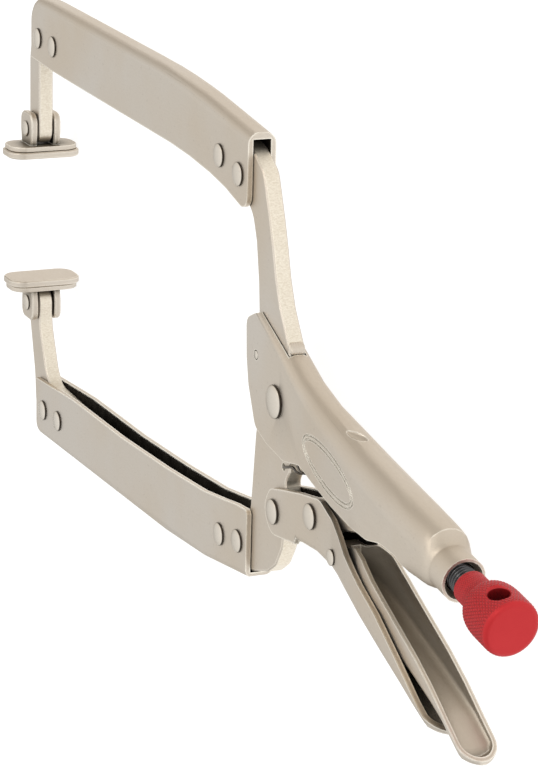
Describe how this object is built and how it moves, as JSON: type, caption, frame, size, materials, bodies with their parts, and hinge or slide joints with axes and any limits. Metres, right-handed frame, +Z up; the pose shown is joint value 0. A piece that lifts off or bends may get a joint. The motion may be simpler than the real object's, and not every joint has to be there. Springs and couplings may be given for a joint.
{
  "type": "locking pliers",
  "caption": "Long-reach locking clamp pliers with deep riveted arms, swivel pads, a toggle lever with release lever and a knurled adjusting knob.",
  "frame": {"origin": "centre of the outline at the lowest point of the part as it lies on its side", "axes": "+X from the jaws to the adjusting knob, +Y from the lower arm to the upper arm, +Z up through the thickness, out of the side with the rivet heads seen in use"},
  "size_m": [0.4604, 0.1992, 0.033],
  "materials": {
    "nickel_plated_steel": "satin nickel plate with a warm grey tone",
    "rivet_steel": "smooth nickel-plated rivet heads",
    "black_oxide_steel": "black oxide",
    "red_anodised_aluminium": "matte red anodising with a diamond knurl",
    "spring_wire": "dark oiled spring wire"
  },
  "bodies": {
    "frame": {"fixed_handle_shell": "nickel_plated_steel", "fixed_jaw_bar": "nickel_plated_steel", "upper_arm_channel": "nickel_plated_steel", "upper_arm_leg": "nickel_plated_steel", "upper_arm_rivet_1": "rivet_steel", "upper_arm_rivet_2": "rivet_steel", "upper_arm_rivet_3": "rivet_steel", "upper_arm_rivet_4": "rivet_steel", "main_pivot_rivet": "rivet_steel", "shell_front_pin": "rivet_steel"},
    "lower_jaw": {"lower_jaw_bar": "nickel_plated_steel", "lower_arm_channel": "nickel_plated_steel", "lower_arm_leg": "nickel_plated_steel", "lower_arm_rivet_1": "rivet_steel", "lower_arm_rivet_2": "rivet_steel", "lower_arm_rivet_3": "rivet_steel", "lower_arm_rivet_4": "rivet_steel", "lever_pivot_rivet": "rivet_steel", "return_spring": "spring_wire"},
    "lever": {"lever_handle": "nickel_plated_steel", "link_rivet": "rivet_steel", "release_rivet": "rivet_steel"},
    "link": {"toggle_link": "nickel_plated_steel"},
    "release": {"release_lever": "nickel_plated_steel"},
    "screw": {"adjusting_screw": "black_oxide_steel"},
    "knob": {"adjusting_knob": "red_anodised_aluminium"},
    "upper_pad": {"upper_pad_plate": "nickel_plated_steel", "upper_pad_bracket": "nickel_plated_steel", "upper_pad_pin": "rivet_steel"},
    "lower_pad": {"lower_pad_plate": "nickel_plated_steel", "lower_pad_bracket": "nickel_plated_steel", "lower_pad_pin": "rivet_steel"}
  },
  "joints": [
    {"name": "jaw_pivot", "type": "hinge", "parent": "frame", "child": "lower_jaw", "pos_m": [0.05644, -0.00817, 0.0165], "axis": [0, 0, 1], "range_deg": [0, 16], "deforming": ["return_spring"]},
    {"name": "lever_pivot", "type": "hinge", "parent": "lower_jaw", "child": "lever", "pos_m": [0.05704, -0.05027, 0.0165], "axis": [0, 0, 1], "range_deg": [-59.4, 0.5]},
    {"name": "link_pivot", "type": "hinge", "parent": "lever", "child": "link", "pos_m": [0.08944, -0.04147, 0.0165], "axis": [0, 0, 1], "range_deg": [-0.5, 64.2]},
    {"name": "release_pivot", "type": "hinge", "parent": "lever", "child": "release", "pos_m": [0.11004, -0.04967, 0.0165], "axis": [0, 0, 1], "range_deg": [0, 9]},
    {"name": "screw_feed", "type": "slide", "parent": "frame", "child": "screw", "axis": [0.9903, -0.1392, 0], "range_m": [-0.0004, 0.012]},
    {"name": "knob_turn", "type": "hinge", "parent": "screw", "child": "knob", "pos_m": [0.21596, -0.03162, 0.0165], "axis": [0.9903, -0.1392, 0], "range_deg": [-97, 2881]},
    {"name": "upper_pad_swivel", "type": "hinge", "parent": "frame", "child": "upper_pad", "pos_m": [-0.22016, 0.03963, 0.0165], "axis": [0, 0, 1], "range_deg": [-18, 18]},
    {"name": "lower_pad_swivel", "type": "hinge", "parent": "lower_jaw", "child": "lower_pad", "pos_m": [-0.21896, -0.04037, 0.0165], "axis": [0, 0, 1], "range_deg": [-18, 18]}
  ],
  "couplings": [
    {"joint": "lever_pivot", "follows": "jaw_pivot", "ratio": -3.65},
    {"joint": "link_pivot", "follows": "jaw_pivot", "ratio": 3.95},
    {"joint": "knob_turn", "follows": "screw_feed", "rad_per_m": 4188.8}
  ]
}
